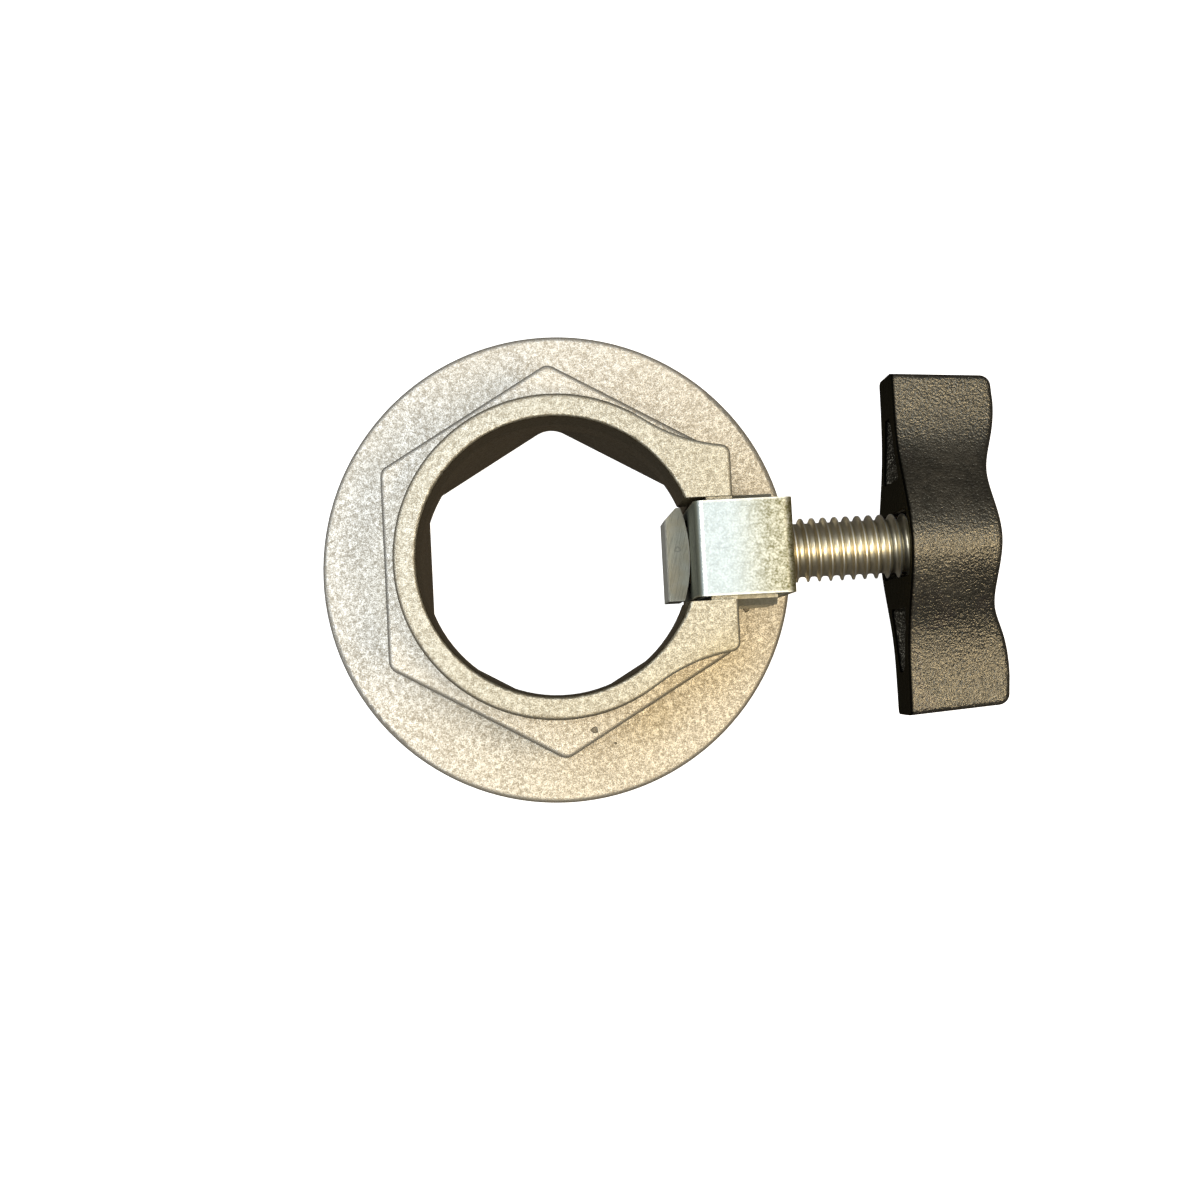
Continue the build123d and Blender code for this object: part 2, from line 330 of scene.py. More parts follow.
# ---------------------------------------------------------------- shader helpers
class Graph:
    """Adds nodes to a tree. A socket given as an input is linked, and anything else is set as its value."""

    def __init__(self, tree):
        self.tree = tree

    def add(self, kind, inputs=None, **props):
        node = self.tree.nodes.new(kind)
        for key, value in props.items():
            setattr(node, key, value)
        return self.fill(node, inputs or {})

    def fill(self, node, inputs):
        for key, value in inputs.items():
            socket = node.inputs[key]
            if isinstance(value, bpy.types.NodeSocket):
                self.tree.links.new(value, socket)
            else:
                socket.default_value = value
        return node

    def math(self, operation, a, b=0.0, clamp=False):
        node = self.add("ShaderNodeMath", {0: a, 1: b}, operation=operation, use_clamp=clamp)
        return node.outputs[0]

    def vector(self, operation, a, b=(0, 0, 0)):
        node = self.add("ShaderNodeVectorMath", {0: a, 1: b}, operation=operation)
        return node.outputs["Value" if operation in ("LENGTH", "DISTANCE", "DOT_PRODUCT") else "Vector"]

    def ramp(self, value, low, high, to_low=0.0, to_high=1.0):
        """Smooth step from one value to another as the input goes from low to high."""
        node = self.add(
            "ShaderNodeMapRange",
            {"Value": value, "From Min": low, "From Max": high, "To Min": to_low, "To Max": to_high},
            interpolation_type="SMOOTHSTEP",
        )
        return node.outputs["Result"]

    def fall(self, value, low, high):
        """1 up to low and 0 from high on."""
        return self.ramp(value, low, high, 1.0, 0.0)

    def between(self, mask, none, full):
        """Runs from none to full as the mask rises from 0 to 1."""
        return self.ramp(mask, 0.0, 1.0, none, full)

    def times(self, first, *others):
        """Product of all its values."""
        for other in others:
            first = self.math("MULTIPLY", first, other)
        return first

    def axis(self, vector, index):
        """One part of a vector: 0 along X, 1 along Y, 2 along Z."""
        return self.add("ShaderNodeSeparateXYZ", {0: vector}).outputs[index]

    def blend(self, factor, a, b, mode="MIX"):
        node = self.add(
            "ShaderNodeMix", {"Factor": factor, 6: a, 7: b}, data_type="RGBA", blend_type=mode,
        )
        return node.outputs[2]

    def cover(self, under, colour, mask, share=1.0, mode="MIX"):
        """Lays a plain colour over another, by a mask times a share."""
        factor = mask if share == 1.0 else self.times(mask, share)
        return self.blend(factor, under, rgba(colour), mode)

    def noise(self, where, scale, detail=2.0, roughness=0.5):
        node = self.add(
            "ShaderNodeTexNoise",
            {"Vector": where, "Scale": scale, "Detail": detail, "Roughness": roughness},
        )
        return node.outputs["Fac"]

    def effect(self, name, **inputs):
        """Places a shared effect. Its inputs are named by their labels in lower case."""
        node = self.tree.nodes.new("ShaderNodeGroup")
        node.node_tree = bpy.data.node_groups[name]
        return self.fill(node, {key.capitalize(): value for key, value in inputs.items()})


def rgba(colour):
    return (*colour, 1.0)


def new_group(name, inputs, outputs):
    """Empty shader node group with its sockets, as (graph, input node, output node)."""
    tree = bpy.data.node_groups.new(name, "ShaderNodeTree")
    for label, kind, default in inputs:
        socket = tree.interface.new_socket(label, in_out="INPUT", socket_type=kind)
        if default is not None:
            socket.default_value = default
    for label, kind in outputs:
        tree.interface.new_socket(label, in_out="OUTPUT", socket_type=kind)
    return Graph(tree), tree.nodes.new("NodeGroupInput"), tree.nodes.new("NodeGroupOutput")


MIDDLE = 0.5
FINE_SHARE = 0.65
COARSE_SCALE = 0.37


def build_grain_group():
    """Fine Grain: two sizes of noise, stretched about their middle, as a mask and a height."""
    graph, given, made = new_group(
        "Fine Grain",
        [("Vector", "NodeSocketVector", None), ("Width", "NodeSocketFloat", 0.3 * MM),
         ("Contrast", "NodeSocketFloat", 2.0)],
        [("Mask", "NodeSocketFloat"), ("Height", "NodeSocketFloat")],
    )
    scale = graph.math("DIVIDE", 1.0, given.outputs["Width"])
    fine = graph.noise(given.outputs["Vector"], scale, detail=2.0, roughness=0.6)
    coarse = graph.noise(given.outputs["Vector"], graph.times(scale, COARSE_SCALE), detail=1.0)
    mixed = graph.math("ADD", graph.times(fine, FINE_SHARE), graph.times(coarse, 1 - FINE_SHARE))
    centred = graph.times(graph.math("SUBTRACT", mixed, MIDDLE), given.outputs["Contrast"])
    mask = graph.math("ADD", centred, MIDDLE, clamp=True)
    graph.tree.links.new(mask, made.inputs["Mask"])
    graph.tree.links.new(mixed, made.inputs["Height"])


def build_patch_group():
    """Soft Patches: slow noise as a mask that runs from none to full between its limits."""
    graph, given, made = new_group(
        "Soft Patches",
        [("Vector", "NodeSocketVector", None), ("Width", "NodeSocketFloat", 8 * MM),
         ("Low", "NodeSocketFloat", 0.4), ("High", "NodeSocketFloat", 0.65)],
        [("Mask", "NodeSocketFloat")],
    )
    scale = graph.math("DIVIDE", 1.0, given.outputs["Width"])
    cloud = graph.noise(given.outputs["Vector"], scale, detail=3.0, roughness=0.55)
    mask = graph.ramp(cloud, given.outputs["Low"], given.outputs["High"])
    graph.tree.links.new(mask, made.inputs["Mask"])


SPOT_EDGE = 1.25


def build_spot_group():
    """Ragged Spot: full within about a radius of a centre, with a soft edge that noise makes uneven."""
    graph, given, made = new_group(
        "Ragged Spot",
        [("Vector", "NodeSocketVector", None), ("Centre", "NodeSocketVector", None),
         ("Radius", "NodeSocketFloat", 0.5 * MM)],
        [("Mask", "NodeSocketFloat")],
    )
    reach = graph.vector("DISTANCE", given.outputs["Vector"], given.outputs["Centre"])
    ragged = graph.noise(given.outputs["Vector"], scale=2600.0, detail=1.0)
    uneven = graph.times(reach, graph.math("ADD", ragged, MIDDLE))
    mask = graph.fall(uneven, given.outputs["Radius"], graph.times(given.outputs["Radius"], SPOT_EDGE))
    graph.tree.links.new(mask, made.inputs["Mask"])


RUB_EDGE = 1.8
RUB_FADE = 0.15
RUB_BREAKS = (0.40, 0.58)


def build_rub_group():
    """Rubbed Line: a thin line along X from its start, broken up by noise and faded at its ends."""
    graph, given, made = new_group(
        "Rubbed Line",
        [("Vector", "NodeSocketVector", None), ("Start", "NodeSocketVector", None),
         ("Length", "NodeSocketFloat", 10 * MM), ("Width", "NodeSocketFloat", 0.09 * MM)],
        [("Mask", "NodeSocketFloat")],
    )
    local = graph.vector("SUBTRACT", given.outputs["Vector"], given.outputs["Start"])
    away = graph.vector("LENGTH", graph.vector("MULTIPLY", local, (0, 1, 1)))
    near = graph.fall(away, given.outputs["Width"], graph.times(given.outputs["Width"], RUB_EDGE))
    share = graph.math("DIVIDE", graph.axis(local, 0), given.outputs["Length"])
    ends = graph.times(graph.ramp(share, 0.0, RUB_FADE), graph.fall(share, 1 - RUB_FADE, 1.0))
    broken = graph.ramp(graph.noise(given.outputs["Vector"], scale=900.0), *RUB_BREAKS)
    mask = graph.times(near, ends, broken)
    graph.tree.links.new(mask, made.inputs["Mask"])


BORE_RAGGED = 0.3 * MM
BORE_EDGE = 0.12 * MM


def build_inside_group():
    """Inside A Bore: full within a radius of the Z axis and below a height, with a ragged top edge."""
    graph, given, made = new_group(
        "Inside A Bore",
        [("Vector", "NodeSocketVector", None), ("Radius", "NodeSocketFloat", 10 * MM),
         ("Height", "NodeSocketFloat", 10 * MM)],
        [("Mask", "NodeSocketFloat")],
    )
    reach = graph.vector("LENGTH", graph.vector("MULTIPLY", given.outputs["Vector"], (1, 1, 0)))
    within = graph.math("LESS_THAN", reach, given.outputs["Radius"])
    ragged = graph.times(graph.noise(given.outputs["Vector"], scale=1800.0, detail=1.0), BORE_RAGGED)
    uneven = graph.math("ADD", graph.axis(given.outputs["Vector"], 2), ragged)
    below = graph.ramp(graph.math("SUBTRACT", given.outputs["Height"], uneven), 0.0, BORE_EDGE)
    graph.tree.links.new(graph.times(within, below), made.inputs["Mask"])


DRAWN_OUT = (0.035, 1.0, 1.0)
SCRATCH_LEVEL = 0.78
SCRATCH_DROP = 0.3
SCRATCH_EDGE = 0.08


def build_scratch_group():
    """Fine Scratches: noise drawn out along the vector's first axis, cut to its highest lines."""
    graph, given, made = new_group(
        "Fine Scratches",
        [("Vector", "NodeSocketVector", None), ("Width", "NodeSocketFloat", 0.15 * MM),
         ("Amount", "NodeSocketFloat", 0.3)],
        [("Mask", "NodeSocketFloat")],
    )
    scale = graph.math("DIVIDE", 1.0, given.outputs["Width"])
    drawn = graph.vector("MULTIPLY", given.outputs["Vector"], DRAWN_OUT)
    lines = graph.noise(drawn, scale, detail=1.0)
    start = graph.math("SUBTRACT", SCRATCH_LEVEL, graph.times(given.outputs["Amount"], SCRATCH_DROP))
    mask = graph.ramp(lines, start, graph.math("ADD", start, SCRATCH_EDGE))
    graph.tree.links.new(mask, made.inputs["Mask"])


def build_edge_group():
    """Box Edges: full where a point lies near two faces of a box at once, so along its edges."""
    graph, given, made = new_group(
        "Box Edges",
        [("Vector", "NodeSocketVector", None), ("Low", "NodeSocketVector", None),
         ("High", "NodeSocketVector", None), ("Band", "NodeSocketFloat", 0.3 * MM)],
        [("Mask", "NodeSocketFloat")],
    )
    where = given.outputs["Vector"]
    below = graph.vector("ABSOLUTE", graph.vector("SUBTRACT", where, given.outputs["Low"]))
    above = graph.vector("ABSOLUTE", graph.vector("SUBTRACT", given.outputs["High"], where))
    nearest = graph.vector("MINIMUM", below, above)
    x, y, z = [graph.fall(graph.axis(nearest, i), 0.0, given.outputs["Band"]) for i in range(3)]
    pairs = graph.math("ADD", graph.times(x, y), graph.times(y, z))
    mask = graph.math("ADD", pairs, graph.times(x, z), clamp=True)
    graph.tree.links.new(mask, made.inputs["Mask"])


def new_material(name):
    """Material with a Principled BSDF, as (material, graph, shader, object coordinates)."""
    material = bpy.data.materials.new(name)
    material.use_nodes = True
    graph = Graph(material.node_tree)
    shader = material.node_tree.nodes["Principled BSDF"]
    where = graph.add("ShaderNodeTexCoord").outputs["Object"]
    return material, graph, shader, where


def finish_shader(graph, shader, colour, roughness, height, depth, strength=1.0):
    """Links a colour, a roughness and a bump of a given depth to the shader."""
    links = graph.tree.links
    links.new(colour, shader.inputs["Base Color"])
    links.new(roughness, shader.inputs["Roughness"])
    bump = graph.add("ShaderNodeBump", {"Height": height, "Distance": depth, "Strength": strength})
    links.new(bump.outputs["Normal"], shader.inputs["Normal"])


def coat(piece, material):
    """Gives every face of a piece the one material."""
    piece.data.materials.clear()
    piece.data.materials.append(material)


# ---------------------------------------------------------------- finishes
# Casting. Pits, a painted shade spot in the gap beside the ear, and worn patches.
GRAIN_CONTRAST = 3.7
WORN_METAL = (0.70, 0.66, 0.57)
WORN_SHARE = 0.25
PIT_AND_GAP_SHADE = (0.10, 0.085, 0.06)
PIT_AND_GAP_SHADE_COVER = 0.8
PIT_SINK = 2.0
BOSS_PIT_RADIUS = 0.34 * MM
FLANGE_PIT_RADIUS = 0.14 * MM
EAR_GAP_SHADE_RADIUS = 0.36 * MM
RUBBED_METAL = (0.97, 0.96, 0.90)
RUBBED_SHARE = 0.35
# Casting. Painted warm shade, and the brown band: its directions, half width, and where it fades in and out.
WARM_SHADE_REACH = (-22 * MM, 26 * MM)
BAND_ACROSS = (0.579, -0.815, 0.0)
BAND_ALONG = (0.815, 0.579, 0.0)
BAND_HALF_WIDTH = (0.5 * MM, 5.5 * MM)
BAND_START = (-10 * MM, 0.0)
BAND_END = (8 * MM, 19 * MM)
BAND_LEAST = 0.6
BAND_TINT = (0.92, 0.87, 0.75)
# Casting. The ring: how far below its top its tone starts, the painted shade round its rounded outside edge
# and its chipped bore edge.
RING_TONE_DEPTH = (7 * MM, 6 * MM)
RIM_SHADE_WIDTH = (0.8 * MM, 0.1 * MM)
RIM_SHADE_ENDS = (7 * MM, 11 * MM)
RIM_SHADE_TINT = (0.55, 0.50, 0.43)
RIM_SHADE_SHARE = 0.7
CHIP_REACH = 0.48 * MM
CHIP_EDGE = 0.12 * MM
CHIP_RAGGED = 0.5 * MM
CHIP_DEPTH = (0.45 * MM, 0.2 * MM)
CHIP_TINT = (0.30, 0.27, 0.21)
CHIP_SHARE = 0.75
# Strap: where its painted warm light starts along it, its specks, and the painted highlights on its edges
# and fold and painted shade on its legs.
WARM_LIGHT_FROM = 0.25
WARM_LIGHT_ZINC = (0.59, 0.60, 0.51)
SPECK_COLOUR = (0.20, 0.195, 0.10)
SPECK_LEAST = 0.14
EDGE_HIGHLIGHT_ZINC = (0.90, 0.92, 0.88)
EDGE_HIGHLIGHT_SHARE = 0.8
LEG_SHADE_TINT = (0.62, 0.57, 0.42)
LEG_BAND = (0.2 * MM, 0.8 * MM)
FOLD_RAGGED = 0.35 * MM
FOLD_START = (0.75 * MM, 0.85 * MM)
FOLD_END = (1.15 * MM, 1.30 * MM)
FOLD_HIGHLIGHT_ZINC = (0.95, 0.97, 0.93)
FOLD_HIGHLIGHT_SHARE = 0.85
SCRATCH_SINK = 0.3
# Nut
NUT_PITS = (0.30, 0.29, 0.22)
NUT_EDGE = (0.70, 0.68, 0.60)
NUT_EDGE_SHARE = 0.5
# Shoe: the slant of its shear lines, its ring-shaped mark, and its stain, lines, painted light on its
# bore-side face, and edges.
SHEAR_ANGLE = math.radians(76)
MARK_ASIDE = 0.6 * MM
MARK_OUTER = 0.34 * MM
MARK_INNER = 0.18 * MM
MARK_COLOUR = (0.08, 0.08, 0.075)
MARK_SHARE = 0.45
SHOE_STAIN = (0.24, 0.225, 0.165)
SHEAR_COLOUR = (0.12, 0.118, 0.10)
SHEAR_SHARE = 0.22
SHEAR_SINK = 0.8
LIT_FACE_STEEL = (0.80, 0.80, 0.72)
LIT_FACE_BAND = (0.03 * MM, 0.12 * MM)
SHOE_EDGE = (0.36, 0.36, 0.32)
SHOE_EDGE_SHARE = 0.4
# Screw: its grain, the painted shade in its roots and the painted highlight along its crests.
STEEL_PITS = (0.65, 0.59, 0.435)
ROOT_SHADE_COLOUR = (0.46, 0.415, 0.29)
ROOT_SHADE_SHARE = 0.35
ROOT_SHADE_CLEAR = 0.25
CREST_HIGHLIGHT_COLOUR = (0.97, 0.95, 0.86)
CREST_HIGHLIGHT_BAND = (0.12 * MM, 0.04 * MM)
CREST_HIGHLIGHT_SHARE = 0.8
# Knob: how much of its grain is rubbed, its worn edges and its matte base face.
RUBBED_GRAIN = (0.14, 0.34)
KNOB_EDGE_SHARE = 0.12
BASE_FACE = (0.2 * MM, 0.5 * MM)
BASE_COLOUR = (0.003, 0.003, 0.0025)
BASE_ROUGHNESS = 0.6
KNOB_SHEEN = (1.0, 0.94, 0.76, 1.0)


def pits_and_gap_shade(graph, where, settings):
    """Mask of two pits in the casting and of a painted shade spot in the gap beside the ear."""
    boss = graph.effect("Ragged Spot", vector=where, centre=settings.boss_pit, radius=BOSS_PIT_RADIUS)
    flange = graph.effect("Ragged Spot", vector=where, centre=settings.flange_pit, radius=FLANGE_PIT_RADIUS)
    # Painted shade in the gap between the nut and the ear.
    ear = graph.effect("Ragged Spot", vector=where, centre=settings.ear_gap_shade, radius=EAR_GAP_SHADE_RADIUS)
    on_flange = graph.math("ADD", flange.outputs["Mask"], ear.outputs["Mask"], clamp=True)
    return graph.math("ADD", boss.outputs["Mask"], on_flange, clamp=True)


def warm_shade_and_band(graph, where, metal, patches, settings):
    """Metal under painted warm shade that deepens in one direction, and under a cloudy brown band beside the
    boss.
    """
    # Painted warm shade: darker and warmer along its direction.
    stain = graph.ramp(graph.vector("DOT_PRODUCT", where, settings.warm_shade_towards), *WARM_SHADE_REACH)
    even = graph.cover(metal, settings.stain, stain, mode="MULTIPLY")
    across = graph.vector("DOT_PRODUCT", where, BAND_ACROSS)
    along = graph.vector("DOT_PRODUCT", where, BAND_ALONG)
    away = graph.math("ABSOLUTE", graph.math("SUBTRACT", across, settings.band_place))
    band = graph.fall(away, *BAND_HALF_WIDTH)
    ends = graph.times(graph.ramp(along, *BAND_START), graph.fall(along, *BAND_END))
    cloudy = graph.between(patches, BAND_LEAST, 1.0)
    return graph.cover(even, BAND_TINT, graph.times(band, ends, cloudy), mode="MULTIPLY")


def ring_metal(graph, where, metal, settings, ring_top):
    """Metal with the ring's own tone, painted shade round its rounded outside edge clear of the ears, and a
    chipped bore edge.
    """
    height = graph.axis(where, 2)
    from_axis = graph.vector("LENGTH", graph.vector("MULTIPLY", where, (1, 1, 0)))
    tone_from, tone_full = [ring_top - depth for depth in RING_TONE_DEPTH]
    on_ring = graph.ramp(height, tone_from, tone_full)
    toned = graph.cover(metal, settings.ring, on_ring, mode="MULTIPLY")
    # Painted shade round the ring's rounded outside edge.
    rim_from, rim_full = [settings.ring_radius - width for width in RIM_SHADE_WIDTH]
    rim = graph.ramp(from_axis, rim_from, rim_full)
    rim_shade = graph.times(rim, on_ring, graph.fall(graph.axis(where, 0), *RIM_SHADE_ENDS))
    rim_shaded = graph.cover(toned, RIM_SHADE_TINT, rim_shade, RIM_SHADE_SHARE, mode="MULTIPLY")
    ragged = graph.times(graph.noise(where, scale=1500.0), CHIP_RAGGED)
    edge = settings.bore_radius + CHIP_REACH
    near_edge = graph.fall(graph.math("ADD", from_axis, ragged), edge, edge + CHIP_EDGE)
    chip_from, chip_full = [ring_top - depth for depth in CHIP_DEPTH]
    chips = graph.times(near_edge, graph.ramp(height, chip_from, chip_full))
    return graph.cover(rim_shaded, CHIP_TINT, chips, CHIP_SHARE, mode="MULTIPLY")


def blasted_casting(settings, ring_top):
    """Blasted aluminium: bright metal over darker pits, with worn patches, two larger pits, a painted shade
    spot beside the ear and a rub.

    Painted warm shade and a brown band lie over it, painted shade round the ring's outside edge and chips
    over the ring, and painted shade inside the bore.
    """
    material, graph, shader, where = new_material("blasted_casting")
    grain = graph.effect("Fine Grain", vector=where, width=settings.grain, contrast=GRAIN_CONTRAST)
    patches = graph.effect("Soft Patches", vector=where, width=9 * MM, low=0.35, high=0.7).outputs["Mask"]
    rub = graph.effect("Rubbed Line", vector=where, start=settings.rub_from, length=settings.rub_length)
    # Two pits and a painted shade spot beside the ear.
    pits = pits_and_gap_shade(graph, where, settings)
    clean = graph.cover(rgba(settings.shade), settings.colour, grain.outputs["Mask"])
    worn = graph.cover(clean, WORN_METAL, patches, WORN_SHARE)
    pitted_and_shaded = graph.cover(worn, PIT_AND_GAP_SHADE, pits, PIT_AND_GAP_SHADE_COVER)
    rubbed = graph.cover(pitted_and_shaded, RUBBED_METAL, rub.outputs["Mask"], RUBBED_SHARE)
    # Painted warm shade, and the brown band beside the boss.
    shade_painted = warm_shade_and_band(graph, where, rubbed, patches, settings)
    ringed = ring_metal(graph, where, shade_painted, settings, ring_top)
    # Painted shade inside the bore, darkening its walls.
    inside = graph.effect("Inside A Bore", vector=where, radius=settings.bore_reach, height=ring_top)
    colour = graph.cover(ringed, settings.inside, inside.outputs["Mask"], mode="MULTIPLY")
    rough = graph.between(grain.outputs["Mask"], settings.roughness + 0.12, settings.roughness - 0.08)
    height = graph.math("SUBTRACT", grain.outputs["Height"], graph.times(pits, PIT_SINK))
    finish_shader(graph, shader, colour, rough, height, depth=0.12 * MM, strength=0.6)
    shader.inputs["Metallic"].default_value = 0.85
    return material


def zinc_plate(settings, low, high):
    """Bright zinc with painted warm light that grows towards the outer bend, where it is also more speckled.

    Its edges carry a painted highlight, its legs painted shade, and a painted highlight runs along the inner
    fold.
    """
    material, graph, shader, where = new_material("zinc_plate")
    mottle = graph.effect("Fine Grain", vector=where, width=settings.mottle, contrast=4.0)
    scratches = graph.effect("Fine Scratches", vector=where, width=0.12 * MM, amount=0.25)
    edges = graph.effect("Box Edges", vector=where, low=low, high=high, band=0.35 * MM)
    along = graph.axis(where, 0)
    inner, outer = low[0], high[0]
    # Painted warm light, growing towards the outer bend; the specks grow with it.
    warm_light = graph.ramp(along, inner + WARM_LIGHT_FROM * (outer - inner), outer)
    tinted = graph.cover(rgba(settings.zinc), WARM_LIGHT_ZINC, warm_light)
    specks = graph.times(mottle.outputs["Mask"], graph.between(warm_light, SPECK_LEAST, 1.0))
    speckled = graph.cover(tinted, SPECK_COLOUR, specks)
    # Painted highlight along the strap's edges.
    edge_lit = graph.cover(speckled, EDGE_HIGHLIGHT_ZINC, edges.outputs["Mask"], EDGE_HIGHLIGHT_SHARE)
    # Painted shade on both legs.
    inner_leg = graph.fall(along, inner + LEG_BAND[0], inner + LEG_BAND[1])
    outer_leg = graph.ramp(along, outer - LEG_BAND[1], outer - LEG_BAND[0])
    leg_shade = graph.math("ADD", inner_leg, outer_leg, clamp=True)
    leg_shaded = graph.cover(edge_lit, LEG_SHADE_TINT, leg_shade, mode="MULTIPLY")
    # Painted highlight along the inner fold.
    ragged = graph.math("ADD", along, graph.times(graph.noise(where, scale=3500.0, detail=1.0), FOLD_RAGGED))
    fold_start = graph.ramp(ragged, inner + FOLD_START[0], inner + FOLD_START[1])
    fold_end = graph.fall(ragged, inner + FOLD_END[0], inner + FOLD_END[1])
    colour = graph.cover(leg_shaded, FOLD_HIGHLIGHT_ZINC, graph.times(fold_start, fold_end), FOLD_HIGHLIGHT_SHARE)
    rough = graph.between(mottle.outputs["Mask"], 0.50, 0.60)
    scored = graph.times(scratches.outputs["Mask"], SCRATCH_SINK)
    height = graph.math("SUBTRACT", mottle.outputs["Height"], scored)
    finish_shader(graph, shader, colour, rough, height, depth=0.06 * MM, strength=0.5)
    shader.inputs["Metallic"].default_value = 0.75
    return material


def dull_plate(settings, low, high):
    """Dull plated nut: grainy, with bare edges."""
    material, graph, shader, where = new_material("dull_plate")
    grain = graph.effect("Fine Grain", vector=where, width=0.35 * MM, contrast=2.2)
    edges = graph.effect("Box Edges", vector=where, low=low, high=high, band=0.5 * MM)
    base = graph.cover(rgba(NUT_PITS), settings.nut, grain.outputs["Mask"])
    colour = graph.cover(base, NUT_EDGE, edges.outputs["Mask"], NUT_EDGE_SHARE)
    rough = graph.between(grain.outputs["Mask"], 0.55, 0.40)
    finish_shader(graph, shader, colour, rough, grain.outputs["Height"], depth=0.06 * MM, strength=0.4)
    shader.inputs["Metallic"].default_value = 0.7
    return material


def sheared_plate(settings, low, high):
    """Sheared steel with slanting shear lines and an olive stain.

    It has a ring-shaped mark on its top end, painted light on its face towards the bore and paler edges.
    """
    material, graph, shader, where = new_material("sheared_plate")
    slant = graph.add(
        "ShaderNodeMapping", {"Vector": where, "Rotation": (0.0, 0.0, SHEAR_ANGLE)}, vector_type="TEXTURE",
    ).outputs["Vector"]
    lines = graph.effect("Fine Scratches", vector=slant, width=0.11 * MM, amount=0.75)
    grain = graph.effect("Fine Grain", vector=where, width=0.25 * MM, contrast=1.8)
    patches = graph.effect("Soft Patches", vector=where, width=3 * MM, low=0.35, high=0.65)
    edges = graph.effect("Box Edges", vector=where, low=low, high=high, band=0.3 * MM)
    middle = (0.5 * (low[0] + high[0]), MARK_ASIDE, high[2])
    outside = graph.effect("Ragged Spot", vector=where, centre=middle, radius=MARK_OUTER)
    inside = graph.effect("Ragged Spot", vector=where, centre=middle, radius=MARK_INNER)
    mark = graph.math("SUBTRACT", outside.outputs["Mask"], inside.outputs["Mask"], clamp=True)
    base = graph.cover(rgba(settings.shoe), SHOE_STAIN, patches.outputs["Mask"])
    lined = graph.cover(base, SHEAR_COLOUR, lines.outputs["Mask"], SHEAR_SHARE)
    marked = graph.cover(lined, MARK_COLOUR, mark, MARK_SHARE)
    # Painted light on the face towards the bore.
    lit_face = graph.fall(graph.axis(where, 0), low[0] + LIT_FACE_BAND[0], low[0] + LIT_FACE_BAND[1])
    rubbed = graph.cover(marked, LIT_FACE_STEEL, lit_face)
    colour = graph.cover(rubbed, SHOE_EDGE, edges.outputs["Mask"], SHOE_EDGE_SHARE)
    rough = graph.between(grain.outputs["Mask"], 0.36, 0.52)
    height = graph.math("SUBTRACT", grain.outputs["Height"], graph.times(lines.outputs["Mask"], SHEAR_SINK))
    finish_shader(graph, shader, colour, rough, height, depth=0.05 * MM, strength=0.5)
    shader.inputs["Metallic"].default_value = 0.35
    return material


def rolled_steel(settings):
    """Bright rolled thread: painted shade in its roots, and a painted highlight along its crests."""
    material, graph, shader, where = new_material("rolled_steel")
    grain = graph.effect("Fine Grain", vector=where, width=0.18 * MM, contrast=1.6)
    screw_low, screw_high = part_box("clamp_screw")
    axis = (0.0, 0.0, 0.5 * (screw_low[2] + screw_high[2]))
    offset = graph.vector("MULTIPLY", graph.vector("SUBTRACT", where, axis), (0, 1, 1))
    radius = graph.vector("LENGTH", offset)
    top, depth = settings.crest_radius, settings.thread_depth
    # Painted shade in the roots of the thread.
    root_shade = graph.fall(radius, top - depth, top - ROOT_SHADE_CLEAR * depth)
    # Painted highlight: a bright line along the crests.
    crest = graph.ramp(radius, top - CREST_HIGHLIGHT_BAND[0], top - CREST_HIGHLIGHT_BAND[1])
    base = graph.cover(rgba(STEEL_PITS), settings.colour, grain.outputs["Mask"])
    root_shaded = graph.cover(base, ROOT_SHADE_COLOUR, root_shade, ROOT_SHADE_SHARE)
    colour = graph.cover(root_shaded, CREST_HIGHLIGHT_COLOUR, crest, CREST_HIGHLIGHT_SHARE)
    rough = graph.between(grain.outputs["Mask"], 0.29, 0.36)
    finish_shader(graph, shader, colour, rough, grain.outputs["Height"], depth=0.02 * MM, strength=0.3)
    shader.inputs["Metallic"].default_value = 0.95
    return material


def spark_textured_plastic(settings, low, high):
    """Black plastic with a spark grain rubbed pale at its tops, uneven in gloss.

    The base face and the skin just beside it are near black and metallic, which takes their sheen away.
    """
    material, graph, shader, where = new_material("spark_textured_plastic")
    grain = graph.effect("Fine Grain", vector=where, width=settings.texture, contrast=3.6)
    patches = graph.effect("Soft Patches", vector=where, width=7 * MM, low=0.35, high=0.65).outputs["Mask"]
    edges = graph.effect("Box Edges", vector=where, low=low, high=high, band=1.0 * MM)
    rubbed = graph.times(grain.outputs["Mask"], graph.between(patches, *RUBBED_GRAIN))
    scuffed = graph.cover(rgba(settings.colour), settings.scuff, rubbed)
    worn = graph.cover(scuffed, settings.scuff, edges.outputs["Mask"], KNOB_EDGE_SHARE)
    base_face = graph.fall(graph.axis(where, 0), low[0] + BASE_FACE[0], low[0] + BASE_FACE[1])
    colour = graph.cover(worn, BASE_COLOUR, base_face)
    gloss = graph.between(grain.outputs["Mask"], settings.roughness + 0.1, settings.roughness - 0.06)
    uneven = graph.math("ADD", gloss, graph.between(patches, -0.04, 0.07))
    rough = graph.math("MAXIMUM", uneven, graph.times(base_face, BASE_ROUGHNESS))
    finish_shader(graph, shader, colour, rough, grain.outputs["Height"], depth=0.20 * MM)
    graph.tree.links.new(base_face, shader.inputs["Metallic"])
    shader.inputs["IOR"].default_value = 1.6
    shader.inputs["Specular IOR Level"].default_value = 0.95
    shader.inputs["Specular Tint"].default_value = KNOB_SHEEN
    return material


